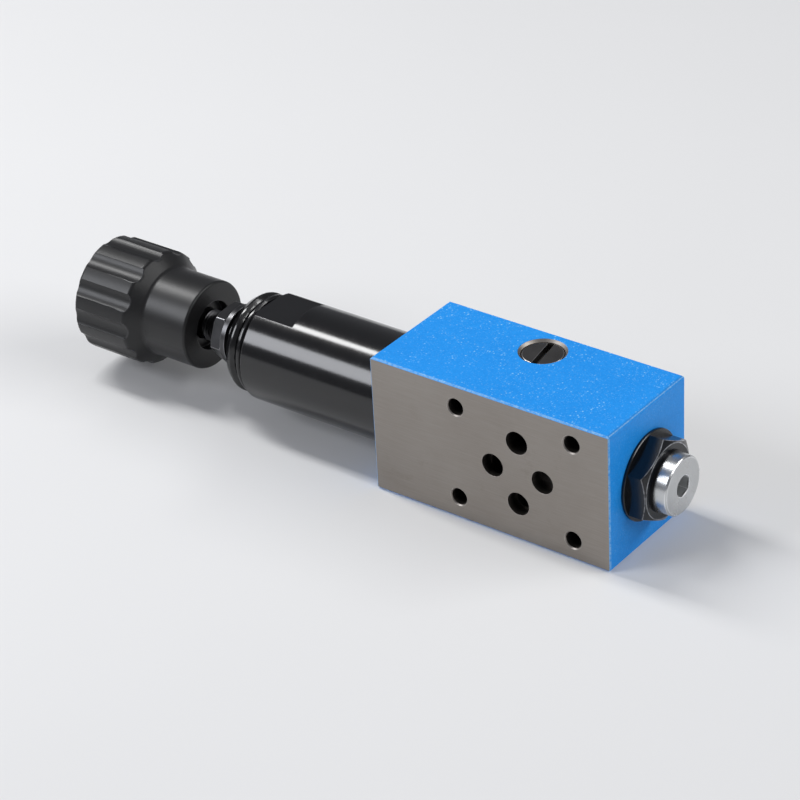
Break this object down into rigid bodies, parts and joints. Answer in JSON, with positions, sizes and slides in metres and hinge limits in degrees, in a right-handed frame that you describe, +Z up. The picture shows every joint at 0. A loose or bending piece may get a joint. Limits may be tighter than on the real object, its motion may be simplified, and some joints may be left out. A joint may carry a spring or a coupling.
{
  "type": "hydraulic sandwich valve",
  "caption": "Sandwich-plate pressure reducing valve: ported block with a spring sleeve, lock nut and adjusting knob at one end and a plugged gauge port at the other.",
  "frame": {"origin": "centre of the standard port and screw pattern, on the rear face that carries the port seals", "axes": "+X along the valve's axis towards the gauge port, the knob is at -X; +Y out of the rear face; +Z up, the block's bottom is at z -0.023"},
  "size_m": [0.2175, 0.04, 0.046],
  "materials": {
    "blue_paint": "glossy blue enamel on the top, ends, bottom; ground bare metal on the two port faces",
    "black_coating": "gloss black",
    "ground_steel": "ground",
    "spring_steel": "oiled wire",
    "zinc_steel": "bright zinc plated",
    "dark_steel": "dark oiled steel",
    "copper": "soft copper",
    "knob_plastic": "satin black moulding",
    "rubber": "matt black"
  },
  "bodies": {
    "valve": {"valve_body": "blue_paint", "spring_sleeve": "black_coating", "sleeve_seal": "rubber", "sleeve_cap": "black_coating", "end_plug": "black_coating", "end_plug_seal": "rubber", "gauge_port_plug": "zinc_steel", "gauge_plug_seal": "dark_steel", "slotted_plug": "zinc_steel", "slotted_plug_seal": "copper", "port_seal_p": "rubber", "port_seal_t": "rubber", "port_seal_a": "rubber", "port_seal_b": "rubber", "main_spring": "spring_steel"},
    "spool": {"control_spool": "ground_steel", "spring_plate": "ground_steel"},
    "adjuster": {"adjuster_piston": "ground_steel", "adjuster_seal": "rubber"},
    "knob": {"adjusting_spindle": "zinc_steel", "knob": "knob_plastic", "knob_grub_screw": "dark_steel"},
    "lock_washer": {"lock_washer": "dark_steel"},
    "lock_nut": {"lock_nut": "dark_steel"}
  },
  "joints": [
    {"name": "spool_slide", "type": "slide", "parent": "valve", "child": "spool", "axis": [-1, 0, 0], "range_m": [0, 0.004], "stiffness_N_per_m": 5000, "springref_m": -0.0005, "deforming": ["main_spring"]},
    {"name": "adjuster_travel", "type": "slide", "parent": "valve", "child": "adjuster", "axis": [1, 0, 0], "range_m": [-0.003, 0.0045], "deforming": ["main_spring"]},
    {"name": "knob_turn", "type": "hinge", "parent": "adjuster", "child": "knob", "pos_m": [-0.15, -0.02, 0], "axis": [1, 0, 0], "range_deg": [-1080, 1620]},
    {"name": "lock_washer_travel", "type": "slide", "parent": "valve", "child": "lock_washer", "axis": [1, 0, 0], "range_m": [-0.0005, 0]},
    {"name": "lock_nut_turn", "type": "hinge", "parent": "lock_washer", "child": "lock_nut", "pos_m": [-0.1215, -0.02, 0], "axis": [1, 0, 0], "range_deg": [-180, 0]}
  ],
  "couplings": [
    {"joint": "knob_turn", "follows": "adjuster_travel", "rad_per_m": 6283.2},
    {"joint": "lock_nut_turn", "follows": "lock_washer_travel", "rad_per_m": 6283.2}
  ]
}
